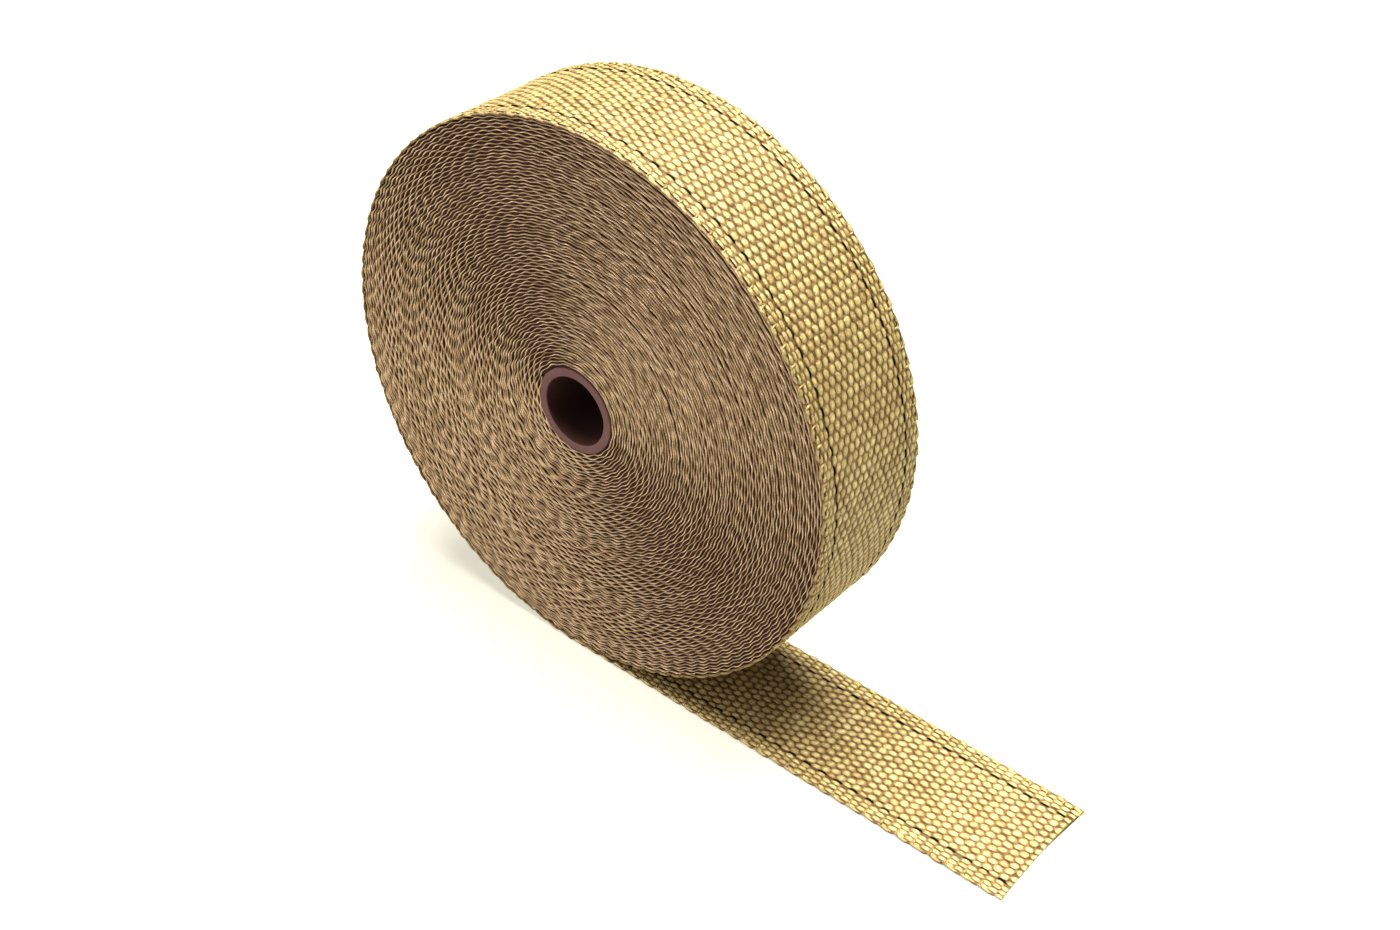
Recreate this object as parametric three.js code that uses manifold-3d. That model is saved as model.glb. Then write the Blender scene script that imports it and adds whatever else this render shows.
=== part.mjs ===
// Exhaust heat wrap: a woven glass tape wound on a paper core, its loose end laid out on the floor.
//
// Millimetres, +Z up. The roll stands on its rim. +Y runs along its axle, across the tape, and +X runs
// along the loose end. The origin is on the floor, under the axle, half way across the tape.

import * as THREE from 'three';
import { mergeVertices } from 'three/addons/utils/BufferGeometryUtils.js';
import Module from 'manifold-3d';

// Driving dimensions: the tape
const tapeWidth = 50.8;
const tapeThickness = 1.078;
const turns = 81;
const looseReach = 181;

// Driving dimensions: the paper core
const coreBore = 25.4;
const coreWall = 3.175;
const coreRecess = 0.4;
const coreClearance = 0.3;

// Driving dimensions: the turns as they show on the roll's two ends, one groove for several turns
const turnsPerGroove = 8;
const grooveWidth = 1.4;
const grooveDepth = 0.7;

// How finely the round shapes are divided
const rollFacets = 64;
const coreFacets = 48;

// What follows from them
const coreRadius = coreBore / 2 + coreWall;
const windingRadius = coreRadius + coreClearance;
const outerRadius = windingRadius + turns * tapeThickness;
const halfFacet = Math.PI / rollFacets;
const axleHeight = turnRadius(2 * Math.PI - halfFacet) * Math.cos(halfFacet);

// The outermost turn's radius. The angle starts straight down and grows towards the loose end's side,
// up and round, so the tape comes off the floor at a full turn and lies one thickness lower at its start.
function turnRadius(angle) {
  return outerRadius - tapeThickness * (1 - angle / (2 * Math.PI));
}

// A point of the roll's cross-section, about the axle, with the same angle
function aroundAxle(radius, angle) {
  return new THREE.Vector2(radius * Math.sin(angle), -radius * Math.cos(angle));
}

const wasm = await Module();
wasm.setup();

// A closed geometry as a solid that can be cut
function toSolid(geometry) {
  const bare = geometry.clone();
  bare.deleteAttribute('normal');
  bare.deleteAttribute('uv');
  const merged = mergeVertices(bare);
  return new wasm.Manifold(new wasm.Mesh({
    numProp: 3,
    vertProperties: new Float32Array(merged.attributes.position.array),
    triVerts: new Uint32Array(merged.index.array),
  }));
}

// A solid as a geometry again
function toGeometry(solid) {
  const mesh = solid.getMesh();
  const geometry = new THREE.BufferGeometry();
  geometry.setAttribute('position', new THREE.BufferAttribute(mesh.vertProperties, 3));
  geometry.setIndex(new THREE.BufferAttribute(mesh.triVerts, 1));
  geometry.computeVertexNormals();
  return geometry;
}

// The tape's cross-section seen along the axle: the flat loose end, then the outermost turn, whose last
// facet lies on the floor in line with the loose end's underside, and the hole that the core fills
function tapeSection() {
  const floor = -axleHeight;
  const looseTop = floor + tapeThickness;
  const outline = [
    new THREE.Vector2(looseReach, floor),
    new THREE.Vector2(looseReach, looseTop),
    new THREE.Vector2(aroundAxle(turnRadius(halfFacet), halfFacet).x, looseTop),
  ];
  for (let facet = 1; facet < rollFacets; facet += 1) {
    const angle = (2 * facet + 1) * halfFacet;
    outline.push(aroundAxle(turnRadius(angle), angle));
  }
  const hole = [];
  for (let facet = 0; facet < rollFacets; facet += 1) {
    hole.push(aroundAxle(windingRadius, (2 * facet + 1) * halfFacet));
  }
  const section = new THREE.Shape(outline);
  section.holes.push(new THREE.Path(hole));
  return section;
}

// One ring to cut from an end of the roll: a V whose point lies grooveDepth inside the end face, carried
// straight out past the face. end is 1 for the far end and -1 for the near one.
function grooveRing(radius, end) {
  const face = tapeWidth / 2;
  const side = end * grooveWidth / 2;
  const clearOfFace = grooveDepth;
  return new THREE.LatheGeometry([
    new THREE.Vector2(radius, end * (face - grooveDepth)),
    new THREE.Vector2(radius + side, end * face),
    new THREE.Vector2(radius + side, end * (face + clearOfFace)),
    new THREE.Vector2(radius - side, end * (face + clearOfFace)),
    new THREE.Vector2(radius - side, end * face),
    new THREE.Vector2(radius, end * (face - grooveDepth)),
  ], rollFacets, halfFacet);
}

// The whole tape: roll and loose end in one piece, with the turns cut into both ends
function tapeGeometry() {
  const extruded = new THREE.ExtrudeGeometry(tapeSection(), { depth: tapeWidth, bevelEnabled: false });
  extruded.rotateX(Math.PI / 2);
  extruded.translate(0, tapeWidth / 2, 0);
  const rings = [];
  for (let turn = turnsPerGroove; turn < turns; turn += turnsPerGroove) {
    const radius = windingRadius + turn * tapeThickness;
    rings.push(toSolid(grooveRing(radius, 1)), toSolid(grooveRing(radius, -1)));
  }
  return toGeometry(toSolid(extruded).subtract(wasm.Manifold.union(rings)));
}

// The core: a plain tube cut square, a little shorter than the tape is wide
function coreGeometry() {
  const halfLength = tapeWidth / 2 - coreRecess;
  const bore = coreBore / 2;
  return new THREE.LatheGeometry([
    new THREE.Vector2(bore, -halfLength),
    new THREE.Vector2(coreRadius, -halfLength),
    new THREE.Vector2(coreRadius, halfLength),
    new THREE.Vector2(bore, halfLength),
    new THREE.Vector2(bore, -halfLength),
  ], coreFacets, Math.PI / coreFacets);
}

const glassTape = new THREE.MeshStandardMaterial({ color: '#c9a25e', roughness: 0.75, metalness: 0 });
const corePaper = new THREE.MeshStandardMaterial({ color: '#84645a', roughness: 0.9, metalness: 0 });

const tape = new THREE.Mesh(tapeGeometry(), glassTape);
tape.name = 'wrap_tape';

const core = new THREE.Mesh(coreGeometry(), corePaper);
core.name = 'core_tube';

const roll = new THREE.Group();
roll.position.z = axleHeight;
roll.add(tape, core);

const heatWrap = new THREE.Group();
heatWrap.name = 'exhaust_heat_wrap';
heatWrap.add(roll);

export default heatWrap;
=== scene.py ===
"""Exhaust heat wrap: 81 turns of woven glass tape on a paper core, its loose end laid out on the floor.

Metres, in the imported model's own frame: +Z up, +Y along the roll's axle, +X along the loose end, and the
origin on the floor under the axle. The sections follow the roll from its core out to the cut end."""

import math

import bpy
import numpy as np
from mathutils import Matrix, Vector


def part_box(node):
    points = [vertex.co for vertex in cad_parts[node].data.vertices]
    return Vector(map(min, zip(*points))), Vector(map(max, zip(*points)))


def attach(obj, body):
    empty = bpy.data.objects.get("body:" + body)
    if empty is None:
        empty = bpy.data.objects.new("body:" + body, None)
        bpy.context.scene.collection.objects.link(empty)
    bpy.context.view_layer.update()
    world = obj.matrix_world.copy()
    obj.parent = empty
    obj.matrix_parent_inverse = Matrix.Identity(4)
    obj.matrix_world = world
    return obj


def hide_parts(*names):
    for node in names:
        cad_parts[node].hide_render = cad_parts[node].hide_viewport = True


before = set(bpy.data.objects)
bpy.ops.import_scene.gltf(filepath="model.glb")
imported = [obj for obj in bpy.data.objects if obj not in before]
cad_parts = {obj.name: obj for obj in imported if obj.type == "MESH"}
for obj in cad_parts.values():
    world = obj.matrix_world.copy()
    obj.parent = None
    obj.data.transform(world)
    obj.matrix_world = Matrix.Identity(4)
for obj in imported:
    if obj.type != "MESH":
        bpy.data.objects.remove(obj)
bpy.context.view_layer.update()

# Camera
# The photograph's viewing angle: from the front right, looking down at the roll's near end, the band and
# the loose end. The lens and the place come from fitting both rims, the core and the loose end's corners.

PHOTO_WIDTH = 1400
FOCAL_PIXELS = 1826.64
CAMERA_PLACE = (0.338927, -0.385194, 0.453782)
CAMERA_AZIMUTH, CAMERA_ELEVATION, CAMERA_ROLL = 38.37, 36.948, 2.075


def camera_axes(azimuth, elevation, roll):
    """The camera's right, up and back axes as a matrix's columns. Back points from the object to the
    camera, and the other two are turned about it by the roll. The angles are in degrees."""
    a, e, r = (math.radians(angle) for angle in (azimuth, elevation, roll))
    back = np.array([math.sin(a) * math.cos(e), -math.cos(a) * math.cos(e), math.sin(e)])
    level = np.array([math.cos(a), math.sin(a), 0.0])
    upright = np.cross(back, level)
    right = math.cos(r) * level + math.sin(r) * upright
    up = math.cos(r) * upright - math.sin(r) * level
    return np.column_stack([right, up, back])


camera_data = bpy.data.cameras.new("camera")
camera_data.sensor_width = 36.0
camera_data.lens = FOCAL_PIXELS / PHOTO_WIDTH * camera_data.sensor_width
camera_data.clip_end = 20.0
camera = bpy.data.objects.new("camera", camera_data)
camera_matrix = Matrix(camera_axes(CAMERA_AZIMUTH, CAMERA_ELEVATION, CAMERA_ROLL).tolist()).to_4x4()
camera_matrix.translation = CAMERA_PLACE
camera.matrix_world = camera_matrix
bpy.context.collection.objects.link(camera)
bpy.context.scene.camera = camera

# Core tube
# A spiral-wound kraft paper tube, 1 in inside and 1-1/4 in outside, that the tape is wound on. Its ends
# are cut square and a little worn, and the seam between its plies runs round the bore as a helix.

core_low, core_high = (np.array(corner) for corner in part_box("core_tube"))
AXLE_HEIGHT = (core_low[2] + core_high[2]) / 2
CORE_RADIUS = (core_high[2] - core_low[2]) / 2
CORE_HALF_LENGTH = (core_high[1] - core_low[1]) / 2
CORE_WALL = 0.003175
CORE_EDGE_ROUND = 0.0004
CORE_STEPS = 180
CORE_WALL_POINTS = 44
CORE_WAVE = 0.00008
CORE_WAVES_ROUND = 18
SEAM_LEAD = 0.055
SEAM_WIDTH = 0.0009
SEAM_DEPTH = 0.0002
PAPER_FIBRES_PER_METRE = 900.0
PAPER_STAINS_PER_METRE = 90.0


def smooth_noise(x, seed):
    """Random waves between -1 and 1, with a new height at each whole number: the two nearest heights
    mixed by 3p^2 - 2p^3, where p is the part of the way from one to the next."""
    heights = np.random.default_rng(seed).uniform(-1.0, 1.0, 4096)
    cell = np.floor(x).astype(int)
    part = x - cell
    ease = part * part * (3.0 - 2.0 * part)
    return heights[cell % 4096] * (1.0 - ease) + heights[(cell + 1) % 4096] * ease


def tube_faces(tubes, rings, sides, joined=False):
    """Faces of tubes whose points are numbered tube by tube, ring by ring and side by side: each joins
    two neighbours on a ring to the same two on the next. On a joined tube the last ring meets the first."""
    tube, ring, side = np.meshgrid(np.arange(tubes), np.arange(rings if joined else rings - 1),
                                   np.arange(sides), indexing="ij")
    start = tube * rings * sides
    here, after = start + ring * sides, start + (ring + 1) % rings * sides
    beside = (side + 1) % sides
    return np.stack([here + side, here + beside, after + beside, after + side], axis=-1).reshape(-1, 4)


def cap_faces(tubes, rings, sides):
    """The flat faces that close both ends of such tubes."""
    start = (np.arange(tubes) * rings * sides)[:, None]
    side = np.arange(sides)[None, :]
    return np.concatenate([start + side[:, ::-1], start + (rings - 1) * sides + side])


def add_piece(name, points, *faces, **attributes):
    """A smooth mesh object at the origin from points and arrays of faces, with a number for each point
    under each attribute's name. If its volume comes out negative, its faces are turned round: a sixth of
    the sum of corner . (corner x corner) over the triangles of its four-cornered faces."""
    points = points.reshape(-1, 3)
    a, b, c, d = (points[faces[0][:, k]] for k in range(4))
    if (a * np.cross(b, c)).sum() + (a * np.cross(c, d)).sum() < 0:
        faces = [face[:, ::-1] for face in faces]
    corners = np.concatenate([face.ravel() for face in faces])
    sizes = np.concatenate([np.full(len(face), face.shape[1]) for face in faces])
    mesh = bpy.data.meshes.new(name)
    mesh.vertices.add(len(points))
    mesh.vertices.foreach_set("co", points.ravel())
    mesh.loops.add(len(corners))
    mesh.loops.foreach_set("vertex_index", corners)
    mesh.polygons.add(len(sizes))
    mesh.polygons.foreach_set("loop_start", np.concatenate([[0], np.cumsum(sizes)[:-1]]))
    mesh.polygons.foreach_set("use_smooth", np.ones(len(sizes), dtype=bool))
    mesh.update(calc_edges=True)
    for key, values in attributes.items():
        if np.ndim(values) == 2:
            layer = mesh.attributes.new(key, "FLOAT_VECTOR", "POINT")
            layer.data.foreach_set("vector", values.astype(np.float32).ravel())
        else:
            layer = mesh.attributes.new(key, "FLOAT", "POINT")
            layer.data.foreach_set("value", np.broadcast_to(values, len(points)).astype(np.float32))
    piece = bpy.data.objects.new(name, mesh)
    bpy.context.collection.objects.link(piece)
    return piece


def add(tree, kind, sockets=None, **settings):
    """Adds a node, sets its settings, and fills its sockets, each with a value or another node's output."""
    node = tree.nodes.new(kind)
    for key, value in settings.items():
        setattr(node, key, value)
    for key, value in (sockets or {}).items():
        if isinstance(value, bpy.types.NodeSocket):
            tree.links.new(value, node.inputs[key])
        else:
            node.inputs[key].default_value = value
    return node


def colour(code):
    """A linear colour from an sRGB hex code: ((c + 0.055) / 1.055) ^ 2.4, or c / 12.92 for the darkest."""
    parts = [int(code[k:k + 2], 16) / 255 for k in (1, 3, 5)]
    return [p / 12.92 if p <= 0.04045 else ((p + 0.055) / 1.055) ** 2.4 for p in parts] + [1.0]


def start_material(name, sockets):
    """A material with one Principled shader whose sockets are set, and its node tree."""
    material = bpy.data.materials.new(name)
    material.use_nodes = True
    tree = material.node_tree
    tree.nodes.clear()
    shader = add(tree, "ShaderNodeBsdfPrincipled", sockets)
    add(tree, "ShaderNodeOutputMaterial", {"Surface": shader.outputs["BSDF"]})
    return material, tree, shader


def rounded_wall(inner, outer, half_length, edge, wall_points):
    """The outline of a tube's wall as points (radius, length along): a rectangle with its corners rounded
    by quarter circles of radius edge, and wall_points points along each of its two long sides."""
    corners = []
    for r, y, start in ((outer, 1, 0), (inner, 1, 90), (inner, -1, 180), (outer, -1, 270)):
        angle = np.radians(start + np.array([0.0, 30.0, 60.0, 90.0]))
        centre = r - edge if r == outer else r + edge
        corners.append(np.column_stack([centre + edge * np.cos(angle),
                                        y * (half_length - edge) + edge * np.sin(angle)]))
    along = np.linspace(1, -1, wall_points + 2)[1:-1] * (half_length - edge)
    bore = np.column_stack([np.full(wall_points, inner), along])
    outside = np.column_stack([np.full(wall_points, outer), -along])
    return np.concatenate([corners[0], corners[1], bore, corners[2], corners[3], outside])


wall = rounded_wall(CORE_RADIUS - CORE_WALL, CORE_RADIUS, CORE_HALF_LENGTH, CORE_EDGE_ROUND,
                    CORE_WALL_POINTS)
turn = np.linspace(0, 2 * math.pi, CORE_STEPS, endpoint=False)[:, None]
core_y = wall[None, :, 1] + 0 * turn
# 1 on the bore's wall: where the seam runs, and where the bore's painted shade goes
liner = np.where(wall[None, :, 0] < CORE_RADIUS - CORE_WALL + 0.0001, 1.0, 0.0) + 0 * turn
# The seam is a bell-shaped groove, exp(-(distance / width)^2), about a line that climbs one lead a turn.
seam_offset = (core_y / SEAM_LEAD + turn / (2 * math.pi) + 0.5) % 1.0 - 0.5
seam = liner * np.exp(-(seam_offset * SEAM_LEAD / SEAM_WIDTH) ** 2)
uneven = CORE_WAVE * smooth_noise(turn * CORE_WAVES_ROUND / (2 * math.pi), 11)
core_r = wall[None, :, 0] + SEAM_DEPTH * seam + uneven
core_points = np.stack([core_r * np.sin(turn), core_y, AXLE_HEIGHT - core_r * np.cos(turn)], axis=-1)
core_tube = add_piece("core_tube_paper", core_points, tube_faces(1, CORE_STEPS, len(wall), joined=True),
                      seam=seam.ravel(), liner=liner.ravel())

# On a Mix node that mixes colours, these are its two colour sockets and its colour output.
MIX_A, MIX_B, MIX_OUT = 6, 7, 2

# Recycled kraft paper, calendered: dull, brown with a mauve cast, mottled by its fibres, with clumps of
# fibre 1.1 mm apart and stains 11 mm apart, and painted shade, a darker brown, on the bore's wall
kraft_paper, tree, shader = start_material("kraft_paper_calendered", {
    "Roughness": 0.78, "Specular IOR Level": 0.3})
place = add(tree, "ShaderNodeTexCoord")
fibres = add(tree, "ShaderNodeTexNoise", {"Vector": place.outputs["Object"], "Scale": PAPER_FIBRES_PER_METRE,
                                          "Detail": 5.0})
stains = add(tree, "ShaderNodeTexNoise", {"Vector": place.outputs["Object"], "Scale": PAPER_STAINS_PER_METRE,
                                          "Detail": 2.0})
mottled = add(tree, "ShaderNodeMix", {"Factor": stains.outputs["Fac"], MIX_A: colour("#5c4240"),
                                      MIX_B: colour("#846660")}, data_type="RGBA")
flecked = add(tree, "ShaderNodeMix", {"Factor": fibres.outputs["Fac"], MIX_A: mottled.outputs[MIX_OUT],
                                      MIX_B: colour("#735655")}, data_type="RGBA")
# Painted shade: the bore's wall is coloured darker brown, standing in for the shade inside the tube
inside = add(tree, "ShaderNodeAttribute", attribute_name="liner")
bore_shaded = add(tree, "ShaderNodeMix", {"Factor": inside.outputs["Fac"], MIX_A: flecked.outputs[MIX_OUT],
                                    MIX_B: colour("#4c302a")}, data_type="RGBA")
groove = add(tree, "ShaderNodeAttribute", attribute_name="seam")
seamed = add(tree, "ShaderNodeMix", {"Factor": groove.outputs["Fac"], MIX_A: bore_shaded.outputs[MIX_OUT],
                                     MIX_B: colour("#1c100d")}, data_type="RGBA")
tree.links.new(seamed.outputs[MIX_OUT], shader.inputs["Base Color"])
relief = add(tree, "ShaderNodeBump", {"Height": fibres.outputs["Fac"], "Strength": 0.4, "Distance": 0.0003})
tree.links.new(relief.outputs["Normal"], shader.inputs["Normal"])
core_tube.data.materials.append(kraft_paper)
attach(core_tube, "root")
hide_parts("core_tube")

# Packed turns
# The inside of the winding, behind the edges that show: layer on layer of tape, too close together to see
# into. It is one turned body, a little narrower than the tape and just under the outermost turn.

wrap_low, wrap_high = (np.array(corner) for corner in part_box("wrap_tape"))
TAPE_HALF_WIDTH = (wrap_high[1] - wrap_low[1]) / 2
LOOSE_REACH = wrap_high[0]
TURN_PITCH = 0.001078
CLOTH_HALF = 0.00062
FIRST_RADIUS = AXLE_HEIGHT - CLOTH_HALF
CORE_CLEARANCE = 0.0003
TURNS = (FIRST_RADIUS - CORE_RADIUS - CORE_CLEARANCE) / TURN_PITCH
EDGE_DEPTH = 0.0012
FLOOR_GAP = 0.00003
CUT_PRESS = 0.5
CUT_PRESS_LENGTH = 0.002
PACKED_STEPS = 180
PACKED_UNDER_CLOTH = 0.0012
PACKED_LUMPS_PER_METRE = 700.0


def turns_in(s):
    """Turns wound in from the point where the tape leaves the floor, s metres from the cut end. The tape's
    middle line has radius r = r0 - pitch * n, so its length is 2 pi (r0 n - pitch n^2 / 2), and this is
    that solved for n."""
    wound = np.maximum(s - LOOSE_REACH, 0.0)
    return (FIRST_RADIUS - np.sqrt(FIRST_RADIUS ** 2 - TURN_PITCH * wound / math.pi)) / TURN_PITCH


def length_of(n):
    """The distance from the cut end to where n turns are wound in."""
    return LOOSE_REACH + 2 * math.pi * (FIRST_RADIUS * n - TURN_PITCH * n * n / 2)


def on_tape(s, y, out):
    """Points of the tape: s along it from the cut end, y across it, and out from its middle surface towards
    the roll's outside, which is down on the loose end. The loose end is flat: x = reach - s. The roll is
    a spiral, clockwise seen from -Y: x = -r sin(2 pi n), z = axle - r cos(2 pi n), with r = r0 - pitch * n
    + out. What would go below the floor is pressed flat on it, and the shears leave the cut end thinner:
    z is less there by CUT_PRESS exp(-s / CUT_PRESS_LENGTH) of itself."""
    n = turns_in(s)
    radius = FIRST_RADIUS - TURN_PITCH * n + out
    x = np.where(s < LOOSE_REACH, LOOSE_REACH - s, -radius * np.sin(2 * math.pi * n))
    z = np.maximum(AXLE_HEIGHT - radius * np.cos(2 * math.pi * n), FLOOR_GAP)
    z = z * (1.0 - CUT_PRESS * np.exp(-np.maximum(s, 0.0) / CUT_PRESS_LENGTH))
    return np.stack(np.broadcast_arrays(x, y, z), axis=-1)


def tape_direction(s, shape):
    """The unit vectors along the tape at distances s from its cut end, spread to a grid of that shape: the
    slope of on_tape, which is (-cos, 0, sin) of the angle 2 pi n."""
    angle = np.broadcast_to(2 * math.pi * turns_in(s), shape).ravel()
    return np.column_stack([-np.cos(angle), 0 * angle, np.sin(angle)])


packed = rounded_wall(CORE_RADIUS + 0.0001, FIRST_RADIUS - PACKED_UNDER_CLOTH, TAPE_HALF_WIDTH - EDGE_DEPTH,
                      0.0004, 2)
turn = np.linspace(0, 2 * math.pi, PACKED_STEPS, endpoint=False)[:, None]
packed_points = np.stack([packed[None, :, 0] * np.sin(turn), packed[None, :, 1] + 0 * turn,
                          AXLE_HEIGHT - packed[None, :, 0] * np.cos(turn)], axis=-1)
packed_turns = add_piece("packed_turns", packed_points, tube_faces(1, PACKED_STEPS, len(packed), joined=True))

# The same glass yarn deep in the winding, lumpy every 1.4 mm, coloured dark brown as painted shade, since
# little light reaches it
painted_shade_yarn, tree, shader = start_material("glass_yarn_in_painted_shade", {
    "Base Color": colour("#4d3830"), "Roughness": 0.9, "Specular IOR Level": 0.2})
place = add(tree, "ShaderNodeTexCoord")
lumps = add(tree, "ShaderNodeTexNoise", {"Vector": place.outputs["Object"], "Scale": PACKED_LUMPS_PER_METRE,
                                         "Detail": 3.0})
relief = add(tree, "ShaderNodeBump", {"Height": lumps.outputs["Fac"], "Strength": 0.8, "Distance": 0.0006})
tree.links.new(relief.outputs["Normal"], shader.inputs["Normal"])
packed_turns.data.materials.append(painted_shade_yarn)
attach(packed_turns, "root")
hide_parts("wrap_tape")

# Edges of the turns
# Each turn's edge, as it shows on the roll's two ends: the weft turns back round the last warp yarn every
# second pick, so the edge weaves out and in once in two picks and stands proud where it bulges outward.

PICK = 0.003235
EDGE_SAMPLES = 6
EDGE_WAVE = 0.00027
EDGE_ROOT_WAVE = 0.6
EDGE_PROUD = 0.00013
EDGE_INSET = 0.0004
EDGE_HALF_WIDTH = 0.00042
EDGE_WANDER = 0.0012
EDGE_SWELL = 0.00022
EDGE_JITTER = 0.0001
EDGE_FLUFF_PER_METRE = 2400.0

# A turn's edge is a ridge of three points a ring: its crest, and its two feet inside the winding. With
# beat = pi s / pick, the crest lies out by wave cos(beat) and stands proud by proud cos(beat).
edge_s = np.arange(LOOSE_REACH, length_of(TURNS), 2 * PICK / EDGE_SAMPLES)
weave_s = edge_s + EDGE_WANDER * smooth_noise(edge_s / 0.17, 21)
winding_edges = []
for end, side_name in ((-1, "near"), (1, "far")):
    beat = math.pi * weave_s / PICK + (math.pi if end > 0 else 0.0)
    uneven = 1.0 + 0.25 * smooth_noise(edge_s / 0.011, 22 + end)
    wave = EDGE_WAVE * uneven * np.cos(beat)
    swell = EDGE_SWELL * smooth_noise(edge_s / 0.06, 24 + end)
    jitter = EDGE_JITTER * smooth_noise(edge_s / 0.003, 27 + end)
    crest_y = TAPE_HALF_WIDTH - EDGE_INSET + EDGE_PROUD * np.cos(beat) + swell + jitter
    foot_y = end * (crest_y - EDGE_DEPTH)
    ring = [on_tape(edge_s, foot_y, EDGE_ROOT_WAVE * wave + EDGE_HALF_WIDTH),
            on_tape(edge_s, end * crest_y, wave),
            on_tape(edge_s, foot_y, EDGE_ROOT_WAVE * wave - EDGE_HALF_WIDTH)]
    points = np.stack(ring, axis=1)
    rings = len(edge_s)
    tone = 0.65 + 0.35 * smooth_noise(edge_s / 0.0017, 31 + end)
    # Painted light: the crest is pale as a painted highlight, paler still where it stands proud, and the feet
    # are dark as painted shade
    proud_painted_light = 0.9 + 0.1 * np.cos(beat)
    edge = add_piece("turn_edges_" + side_name, points, tube_faces(1, rings, 3), cap_faces(1, rings, 3),
                     tone=np.repeat(tone, 3), crown=(proud_painted_light[:, None] * [0.0, 1.0, 0.0]).ravel())
    winding_edges.append(edge)

# The same yarn at the turned edges, where the weft shows: dull, with dark brown painted shade between the
# turns and a pale painted highlight on each crest, and speckled every 0.4 mm by its texturised fibres
edge_yarn, tree, shader = start_material("glass_yarn_turned_edge", {
    "Roughness": 0.6, "Specular IOR Level": 0.3})
place = add(tree, "ShaderNodeTexCoord")
crown = add(tree, "ShaderNodeAttribute", attribute_name="crown")
tone = add(tree, "ShaderNodeAttribute", attribute_name="tone")
fluff = add(tree, "ShaderNodeTexNoise", {"Vector": place.outputs["Object"], "Scale": EDGE_FLUFF_PER_METRE,
                                         "Detail": 3.0})
near_crest = add(tree, "ShaderNodeMapRange", {"Value": crown.outputs["Fac"], "From Min": 0.35,
                                              "From Max": 0.85})
painted_shade_colour = add(tree, "ShaderNodeMix", {"Factor": near_crest.outputs["Result"], MIX_A: colour("#4b3229"),
                                           MIX_B: colour("#ffe6be")}, data_type="RGBA")
mixed_tone = add(tree, "ShaderNodeMath", {0: tone.outputs["Fac"], 1: fluff.outputs["Fac"]},
                 operation="MULTIPLY")
specks = add(tree, "ShaderNodeMapRange", {"Value": mixed_tone.outputs[0], "From Min": 0.1, "From Max": 0.5})
toned = add(tree, "ShaderNodeMix", {"Factor": specks.outputs["Result"], MIX_A: colour("#a8967c"),
                                    MIX_B: colour("#ffffff")}, data_type="RGBA")
yarn_colour = add(tree, "ShaderNodeMix", {"Factor": 1.0, MIX_A: painted_shade_colour.outputs[MIX_OUT],
                                          MIX_B: toned.outputs[MIX_OUT]},
                  data_type="RGBA", blend_type="MULTIPLY")
tree.links.new(yarn_colour.outputs[MIX_OUT], shader.inputs["Base Color"])
relief = add(tree, "ShaderNodeBump", {"Height": fluff.outputs["Fac"], "Strength": 0.6, "Distance": 0.0002})
tree.links.new(relief.outputs["Normal"], shader.inputs["Normal"])
for edge in winding_edges:
    edge.data.materials.append(edge_yarn)
    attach(edge, "root")
    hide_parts("wrap_tape")

# Cloth of the outermost turn and the loose end
# The strip of tape that shows, 2 in wide: its weft, a rib for each pick, packed between the warp yarns. It
# runs from the cut end along the floor and once round the roll.

UNDER_NEXT_TURN = 0.004
SHOWN_LENGTH = length_of(1.0) + UNDER_NEXT_TURN
CLOTH_SAMPLES = 6
CLOTH_COLUMNS = 9
CLOTH_EDGE = 0.0243
CLOTH_BEHIND_CUT = 0.0002
RIB_HEIGHT = 0.0001
RIB_MIDDLE = 0.0002
CUT_INTO_PICK = 0.35
CUT_FLARE = 0.0014
CUT_FLARE_START = 0.012
CUT_FLARE_WIDTH = 0.013
CUT_FADE = 0.01
# Painted light: the tape is coloured paler just at the cut end, which faces away from the lamps
CUT_PAINTED_LIGHT = 0.4
YARN_FLECKS_PER_METRE = 1300.0


def cut_line(y):
    """Where the tape is cut, along it from the mean cut: a nearly straight snip, bowed by 0.2 mm, whose
    far corner flares out as the square of the way past the flare's start."""
    past_start = np.clip((y - CUT_FLARE_START) / CUT_FLARE_WIDTH, 0.0, 1.2)
    return 0.0002 * np.cos(y / 0.009) - CUT_FLARE * past_start ** 2


# A row of points for every sixth of a pick, the outside's first and then the inside's. The rib rises as
# cos(2 pi s / pick), and the rows bend to the cut's line as they near it.
cloth_s = np.arange(0.0, SHOWN_LENGTH, PICK / CLOTH_SAMPLES)
across = np.linspace(-CLOTH_EDGE, CLOTH_EDGE, CLOTH_COLUMNS)
rib = RIB_MIDDLE + RIB_HEIGHT * np.cos(2 * math.pi * (cloth_s / PICK + CUT_INTO_PICK - 0.5))
near_cut = np.exp(-cloth_s[:, None] / CUT_FADE)
s_grid = cloth_s[:, None] + cut_line(across)[None, :] * near_cut + CLOTH_BEHIND_CUT
cloth_points = np.concatenate([on_tape(s_grid, across[None, :], rib[:, None]),
                               on_tape(s_grid, across[None, :], -rib[:, None])[:, ::-1]], axis=1)
cloth_rows, row_points = cloth_points.shape[:2]
# Painted shade: the weft cloth takes the brown gap colour and a low tone throughout, for the shade between
# the floats, and painted light only at the cut
cloth = add_piece("weft_cloth", cloth_points, tube_faces(1, cloth_rows, row_points),
                  cap_faces(1, cloth_rows, row_points), tone=0.35,
                  crown=np.repeat(np.where(cloth_s < 0.0003, CUT_PAINTED_LIGHT, 0.0), row_points),
                  fibre=np.tile([0.0, 1.0, 0.0], (cloth_rows * row_points, 1)))
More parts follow.
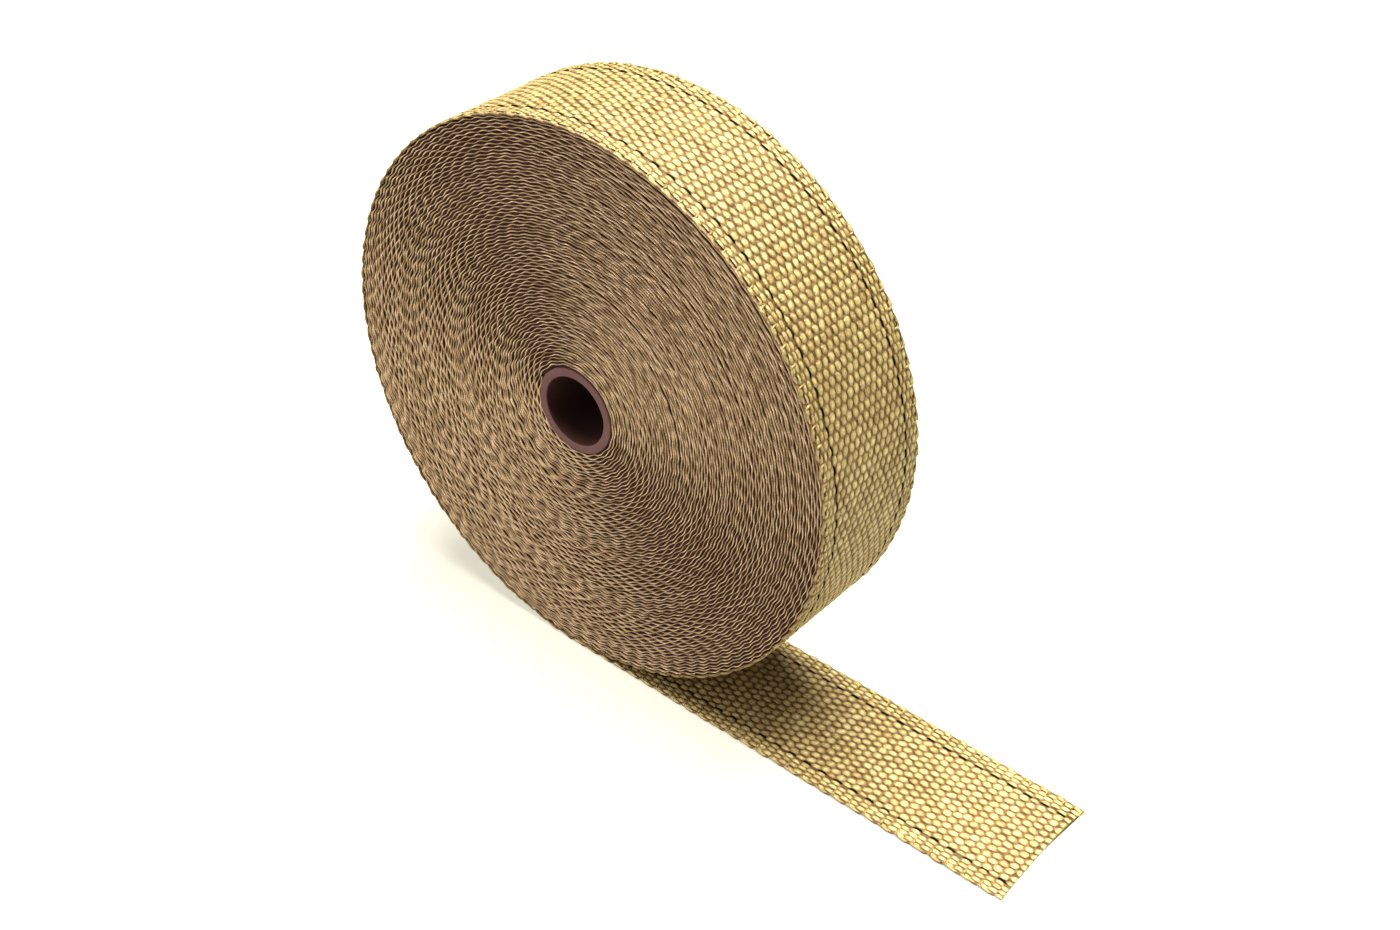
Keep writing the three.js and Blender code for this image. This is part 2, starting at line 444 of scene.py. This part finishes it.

# Woven glass yarn, texturised, dyed tan: silky fibres that catch the light on each yarn's crown, painted
# paler there as a highlight and brown in the gaps as painted shade, speckled every 0.8 mm, with no two floats
# quite the same colour
glass_yarn, tree, shader = start_material("glass_yarn_texturised_tan", {
    "Roughness": 0.45, "IOR": 1.55, "Specular IOR Level": 1.0, "Metallic": 0.24, "Anisotropic": 0.7,
    "Anisotropic Rotation": 0.25})
fibre = add(tree, "ShaderNodeAttribute", attribute_name="fibre")
tree.links.new(fibre.outputs["Vector"], shader.inputs["Tangent"])
place = add(tree, "ShaderNodeTexCoord")
crown = add(tree, "ShaderNodeAttribute", attribute_name="crown")
tone = add(tree, "ShaderNodeAttribute", attribute_name="tone")
# Painted light: brown painted shade where the attribute is 0, in the gaps, up to a pale painted highlight
# where it is 1, on the crowns
gap_to_crown = add(tree, "ShaderNodeMix", {"Factor": crown.outputs["Fac"], MIX_A: colour("#805e1e"),
                                           MIX_B: colour("#efe5a8")}, data_type="RGBA")
fluff = add(tree, "ShaderNodeTexNoise", {"Vector": place.outputs["Object"], "Scale": YARN_FLECKS_PER_METRE,
                                         "Detail": 5.0, "Roughness": 0.65})
flecks = add(tree, "ShaderNodeMapRange", {"Value": fluff.outputs["Fac"], "From Min": 0.36, "From Max": 0.6})
patchy = add(tree, "ShaderNodeMix", {"Factor": 0.5, 2: tone.outputs["Fac"], 3: flecks.outputs["Result"]})
toned = add(tree, "ShaderNodeMix", {"Factor": patchy.outputs[0], MIX_A: colour("#b3996c"),
                                    MIX_B: colour("#ffffff")}, data_type="RGBA")
yarn_colour = add(tree, "ShaderNodeMix", {"Factor": 1.0, MIX_A: gap_to_crown.outputs[MIX_OUT],
                                          MIX_B: toned.outputs[MIX_OUT]},
                  data_type="RGBA", blend_type="MULTIPLY")
tree.links.new(yarn_colour.outputs[MIX_OUT], shader.inputs["Base Color"])
relief = add(tree, "ShaderNodeBump", {"Height": fluff.outputs["Fac"], "Strength": 0.9, "Distance": 0.0004})
tree.links.new(relief.outputs["Normal"], shader.inputs["Normal"])
cloth.data.materials.append(glass_yarn)
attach(cloth, "root")
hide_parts("wrap_tape")

# Warp yarns
# 37 bulky yarns lie along the tape, each over one pick and under the next, its neighbours the other way
# round. Each float swells to a pillow that hides the weft. The yarns stand closer in the two selvages.

FIELD_HALF_WIDTH = 0.0166
FIELD_WARPS = 23
FIELD_FLOAT_HALF = 0.00142
BORDER_WARP_Y = 0.01775
SELVAGE_WARPS = 6
SELVAGE_SPACING = 0.00099
SELVAGE_START = 0.0195
SELVAGE_FLOAT_HALF = 0.00096

field_y = np.linspace(-FIELD_HALF_WIDTH, FIELD_HALF_WIDTH, FIELD_WARPS)
selvage_y = np.append(BORDER_WARP_Y, SELVAGE_START + SELVAGE_SPACING * np.arange(SELVAGE_WARPS))
warp_y = np.concatenate([-selvage_y[::-1], field_y, selvage_y])
warp_half = np.where(np.abs(warp_y) < BORDER_WARP_Y, FIELD_FLOAT_HALF, SELVAGE_FLOAT_HALF)
warp_parity = np.arange(len(warp_y)) % 2
FLOAT_PLACES = np.array([-0.96, -0.74, -0.28, 0.28, 0.74, 0.96])
AROUND = np.radians([0.0, 45.0, 90.0, 135.0, 180.0, 270.0])
FLOAT_RISE = 0.00022
FLOAT_THICK = 0.00042
NECK_THICK = 0.00026
NECK_HALF = 0.00042
FLOAT_LEAN = 0.12
CUT_FLAT = 0.0002
TONE_MEAN, TONE_SPREAD = 0.57, 0.22


def warp_floats(name, chosen, first_pick, last_pick, outside, hidden_places, seed):
    """Warp yarns from one pick to another, as tubes. Along a float, a runs from -1 to 1 between the two
    grooves beside it: its half width is neck + (full - neck) (1 - |a|^2.6)^0.4, its rise cos(pi a / 2),
    and its thickness neck + (full - neck) sqrt(1 - a^2). outside is 1 for floats on the roll's outside and
    -1 for floats on the side that faces up on the loose end; the other side has only a few rings. Nothing
    passes the cut: what would is pressed back to its line, and the sheen there runs across the tape."""
    rng = np.random.default_rng(seed)
    y0, half, parity = warp_y[chosen], warp_half[chosen], warp_parity[chosen]
    first = first_pick + (parity + (1 if outside > 0 else 0) + first_pick) % 2
    periods = (last_pick - first_pick) // 2
    size = (len(y0), periods, 1)
    widen, lift, shift_y, shift_s, tilt = (rng.normal(0.0, 1.0, size) for _ in range(5))
    tone = np.clip(rng.normal(TONE_MEAN, TONE_SPREAD, size), 0.0, 1.0)
    places = np.concatenate([FLOAT_PLACES, 2.0 + hidden_places])
    shown = (np.arange(len(places)) < len(FLOAT_PLACES))[None, None, :]
    a = np.concatenate([FLOAT_PLACES, hidden_places])[None, None, :]
    pick = first[:, None, None] + 2 * np.arange(periods)[None, :, None] + 0.5 + places[None, None, :] / 2
    full = half[:, None, None] * (1.0 + 0.08 * widen * shown)
    width = NECK_HALF + (full - NECK_HALF) * (1.0 - np.abs(a) ** 2.6) ** 0.4
    rise = (FLOAT_RISE + 0.00007 * lift) * np.cos(math.pi * a / 2) * np.where(shown, 1.0, -1.0)
    thick = NECK_THICK + (FLOAT_THICK - NECK_THICK) * np.sqrt(1.0 - a * a)
    cos, sin = np.cos(AROUND), np.sin(AROUND)
    over = width[..., None] * cos
    height = rise[..., None] + thick[..., None] * sin
    lean = (FLOAT_LEAN + 0.15 * tilt) * shown
    s = (pick - CUT_INTO_PICK) * PICK + 0.00012 * shift_s * shown
    s = s[..., None] - over * lean[..., None]
    y = y0[:, None, None, None] + over + (0.00009 * shift_y * shown)[..., None]
    s = np.maximum(s, cut_line(y) + 0.0001)
    points = on_tape(s, y, outside * height)
    # Painted light: each float is pale on its top as a painted highlight, and darker as painted shade on its
    # flanks, underneath and towards the grooves at its ends
    along_crown = np.broadcast_to((1.0 - 0.8 * np.abs(a) ** 3) * shown, width.shape)
    crown = along_crown[..., None] * np.interp(sin, [-1.0, 0.0, 0.7, 1.0], [0.0, 0.1, 0.66, 1.0])
    # Painted light: paler colour at the cut end
    crown = np.maximum(crown, CUT_PAINTED_LIGHT * (s < cut_line(y) + 0.0003))
    shade = np.broadcast_to((tone * shown + 0.4 * (1 - shown))[..., None], points.shape[:-1])
    rings = periods * len(places)
    at_cut = np.broadcast_to(s < cut_line(y) + CUT_FLAT, points.shape[:-1]).reshape(-1, 1)
    return add_piece(name, points, tube_faces(len(y0), rings, len(AROUND)),
                     cap_faces(len(y0), rings, len(AROUND)), tone=shade.ravel(), crown=crown.ravel(),
                     fibre=np.where(at_cut, [0.0, 1.0, 0.0], tape_direction(s, points.shape[:-1])))


TANGENT_PICK = int(LOOSE_REACH / PICK)
LAST_PICK = int(SHOWN_LENGTH / PICK)
everyone = np.arange(len(warp_y))
warps = [
    warp_floats("loose_end_warps", everyone, 0, TANGENT_PICK + 4, -1, np.array([-0.6, 0.0, 0.6]), 41),
    warp_floats("outer_turn_warps_even", everyone[::2], TANGENT_PICK - 2, LAST_PICK, 1, np.zeros(1), 42),
    warp_floats("outer_turn_warps_odd", everyone[1::2], TANGENT_PICK - 2, LAST_PICK, 1, np.zeros(1), 43),
]
for warp in warps:
    warp.data.materials.append(glass_yarn)
    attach(warp, "root")
    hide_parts("wrap_tape")

# Selvage loops
# Where the weft turns back round the last warp yarn, once in two picks at each edge: a fat loop that
# climbs from under one pick to over the next and gives the tape its scalloped edge.

LOOP_PLACES = np.radians([-90.0, -90.0, -58.0, -20.0, 20.0, 58.0, 90.0, 90.0])
LOOP_INSIDE = np.array([0.0016, 0.0005, 0.0, 0.0, 0.0, 0.0, 0.0005, 0.0016])
LOOP_RADIUS = 0.00048
LOOP_BASE = 0.0243
LOOP_LENGTH = 0.85
LOOP_CLIMB = 0.0003
LOOP_SIDES = 6
loop_out = TAPE_HALF_WIDTH - LOOP_BASE - 0.8 * LOOP_RADIUS

# A loop's middle line is a rounded hump, with gamma from -90 to 90 degrees: length sin(gamma) picks along
# the tape, out by sqrt(cos(gamma)), and climbing as sin(gamma).
rng = np.random.default_rng(51)
boundary = np.arange(1, LAST_PICK)[:, None, None]
edge_side = np.where(boundary % 2 == 1, 1.0, -1.0)
gamma = LOOP_PLACES[None, :, None]
ring = np.radians(np.arange(LOOP_SIDES) * 60.0)[None, None, :]
loop_shape = (len(boundary), 1, 1)
fat = LOOP_RADIUS * (1.0 + 0.12 * rng.normal(0.0, 1.0, loop_shape))
bulge = np.sqrt(np.clip(np.cos(gamma), 0.0, 1.0))
reach_out = loop_out * bulge * (1.0 + 0.15 * rng.normal(0.0, 1.0, loop_shape)) - LOOP_INSIDE[None, :, None]
loop_s = (boundary - CUT_INTO_PICK + LOOP_LENGTH * np.sin(gamma)) * PICK - fat * np.sin(gamma) * np.cos(ring)
loop_y = edge_side * (LOOP_BASE + reach_out + fat * np.cos(gamma) * np.cos(ring))
loop_h = LOOP_CLIMB * np.sin(gamma) * edge_side + fat * np.sin(ring)
loop_tone = np.clip(rng.normal(0.5, 0.25, loop_shape), 0, 1)
# Painted light: each loop is paler on its outward side and darker underneath as painted shade
facing_out = np.where(loop_s < LOOSE_REACH, -1.0, 1.0) * np.sin(ring)
loop_crown = np.interp(facing_out, [-1.0, 0.0, 1.0], [0.0, 0.35, 0.75])
loops = add_piece("selvage_loops", on_tape(np.maximum(loop_s, cut_line(loop_y)), loop_y, loop_h),
                  tube_faces(len(boundary), len(LOOP_PLACES), LOOP_SIDES),
                  cap_faces(len(boundary), len(LOOP_PLACES), LOOP_SIDES),
                  tone=np.broadcast_to(loop_tone, loop_h.shape).ravel(), crown=loop_crown.ravel(),
                  fibre=tape_direction(loop_s, loop_h.shape))
loops.data.materials.append(glass_yarn)
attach(loops, "root")
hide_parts("wrap_tape")

# Tracer yarns
# Two thin black yarns woven in beside the selvages, over one pick and under the next, so each shows as a
# row of short black dashes.

TRACER_Y = 0.0184
TRACER_RADIUS = 0.0003
TRACER_RISE = 0.00042
TRACER_SAMPLES = 8
TRACER_SIDES = 5
TRACER_TWIST_PER_METRE = 4000.0

# It rises and falls as the square root of |cos|, so that it lies nearly flat on the cloth along a dash.
tracer_s = np.arange(0.0, SHOWN_LENGTH, 2 * PICK / TRACER_SAMPLES)[None, :, None]
tracer_side = np.array([-1.0, 1.0])[:, None, None]
beat = math.pi * (tracer_s / PICK + CUT_INTO_PICK - 0.5)
float_up = np.cos(beat)
ring = np.radians(np.arange(TRACER_SIDES) * 72.0 + 90.0)[None, None, :]
wobble = 0.00012 * smooth_noise(tracer_s / 0.005, 61) + 0 * tracer_side
tracer_y = tracer_side * TRACER_Y + wobble + TRACER_RADIUS * np.cos(ring)
tracer_middle = TRACER_RISE * np.sign(float_up) * np.abs(float_up) ** 0.5
tracer_h = tracer_middle + TRACER_RADIUS * np.sin(ring) + 0 * tracer_side
tracer_samples = tracer_s.shape[1]
tracer_points = on_tape(np.maximum(tracer_s, cut_line(tracer_y) + 0.0003), tracer_y, tracer_h)
tracers = add_piece("tracer_yarns", tracer_points, tube_faces(2, tracer_samples, TRACER_SIDES),
                    cap_faces(2, tracer_samples, TRACER_SIDES))

# Black polyester sewing yarn: smooth, faintly shiny, brown where light catches it, its twist 0.25 mm long
tracer_black, tree, shader = start_material("polyester_yarn_black", {
    "Base Color": colour("#120e0a"), "Roughness": 0.65, "Specular IOR Level": 0.2})
place = add(tree, "ShaderNodeTexCoord")
twist = add(tree, "ShaderNodeTexNoise", {"Vector": place.outputs["Object"], "Scale": TRACER_TWIST_PER_METRE,
                                         "Detail": 1.0})
relief = add(tree, "ShaderNodeBump", {"Height": twist.outputs["Fac"], "Strength": 0.5, "Distance": 0.0001})
tree.links.new(relief.outputs["Normal"], shader.inputs["Normal"])
tracers.data.materials.append(tracer_black)
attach(tracers, "root")
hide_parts("wrap_tape")

# Frayed fibres
# Single glass filaments that have come loose: a tuft at each corner of the cut and a few hairs along both
# edges.

CUT_HAIRS = 70
EDGE_HAIRS = 260
HAIR_RADIUS = 0.00004
HAIR_RINGS = 5
HAIR_SIDES = 3

# A hair leaves its root in a straight line along and across the tape, and curls away from it as the square
# of the way along.
rng = np.random.default_rng(71)
hairs = CUT_HAIRS + EDGE_HAIRS
at_cut = (np.arange(hairs) < CUT_HAIRS)[:, None, None]
hair_side = np.where(rng.random((hairs, 1, 1)) < 0.5, -1.0, 1.0)
root_y = hair_side * (TAPE_HALF_WIDTH - 0.0005 - 0.003 * at_cut * rng.random((hairs, 1, 1)) ** 2)
root_s = np.where(at_cut, cut_line(root_y) + 0.0004, rng.uniform(0.0, SHOWN_LENGTH - 0.005, (hairs, 1, 1)))
run_s, run_y, curl = (rng.normal(0.0, 1.0, (hairs, 1, 1)) for _ in range(3))
run_s = np.where(at_cut, -0.0005 - 0.0009 * np.abs(run_s), 0.0007 * run_s)
run_y = np.where(at_cut, 0.0004 * run_y, hair_side * (0.0007 + 0.0003 * np.abs(run_y)))
grow = np.linspace(0.0, 1.0, HAIR_RINGS)[None, :, None]
ring = np.radians(np.arange(HAIR_SIDES) * 120.0)[None, None, :]
thin = HAIR_RADIUS * (1.0 - 0.5 * grow)
hair_s = root_s + run_s * grow + thin * np.cos(ring) * (1 - at_cut)
hair_y = root_y + run_y * grow + 0.0003 * curl * grow ** 2 + thin * np.cos(ring) * at_cut
hair_h = 0.0002 * curl - 0.0005 * curl * grow ** 2 + thin * np.sin(ring)
fray = add_piece("frayed_fibres", on_tape(hair_s, hair_y, hair_h), tube_faces(hairs, HAIR_RINGS, HAIR_SIDES),
                 cap_faces(hairs, HAIR_RINGS, HAIR_SIDES), tone=0.8, crown=0.9,
                 fibre=tape_direction(hair_s, hair_h.shape))
fray.data.materials.append(glass_yarn)
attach(fray, "root")
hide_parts("wrap_tape")

# Floor and lights
# A plain white floor that glows a little, as a light table does, a soft light nearly overhead, and a weaker
# one low on the near side that fills the roll's end.

FLOOR_HALF = 6.0
OVERHEAD_SPREAD, OVERHEAD_TILT_BACK, OVERHEAD_TILT_LEFT = 42, -6, -3
FILL_SPREAD, FILL_TILT, FILL_TURN = 70, 66, -32

floor_mesh = bpy.data.meshes.new("floor")
floor_mesh.from_pydata([(-FLOOR_HALF, -FLOOR_HALF, 0), (FLOOR_HALF, -FLOOR_HALF, 0),
                        (FLOOR_HALF, FLOOR_HALF, 0), (-FLOOR_HALF, FLOOR_HALF, 0)], [], [(0, 1, 2, 3)])
floor = bpy.data.objects.new("floor", floor_mesh)
bpy.context.collection.objects.link(floor)

# White board, matt: it glows a little, so that it stays white round the roll's soft shadow
white_board, tree, shader = start_material("white_board_matt", {
    "Base Color": colour("#9e9a94"), "Roughness": 0.9, "Specular IOR Level": 0.0,
    "Emission Color": colour("#fffff0"), "Emission Strength": 0.55})
floor_mesh.materials.append(white_board)

overhead = bpy.data.lights.new("overhead", "SUN")
overhead.energy = 6.8
overhead.angle = math.radians(OVERHEAD_SPREAD)
overhead.color = colour("#fffef7")[:3]
overhead_object = bpy.data.objects.new("overhead", overhead)
overhead_object.rotation_euler = (math.radians(OVERHEAD_TILT_BACK), math.radians(OVERHEAD_TILT_LEFT), 0)
bpy.context.collection.objects.link(overhead_object)

side_fill = bpy.data.lights.new("side_fill", "SUN")
side_fill.energy = 1.8
side_fill.angle = math.radians(FILL_SPREAD)
side_fill.color = colour("#fffcfc")[:3]
side_fill_object = bpy.data.objects.new("side_fill", side_fill)
side_fill_object.rotation_euler = (math.radians(FILL_TILT), 0, math.radians(FILL_TURN))
bpy.context.collection.objects.link(side_fill_object)

world = bpy.data.worlds.new("studio")
world.use_nodes = True
world.node_tree.nodes["Background"].inputs["Color"].default_value = colour("#f9eaf9")
world.node_tree.nodes["Background"].inputs["Strength"].default_value = 0.2
bpy.context.scene.world = world

# The photograph is bright and contrasty, which these settings answer.
bpy.context.scene.view_settings.view_transform = "Standard"
bpy.context.scene.view_settings.gamma = 0.8
bpy.context.scene.view_settings.exposure = 0.1
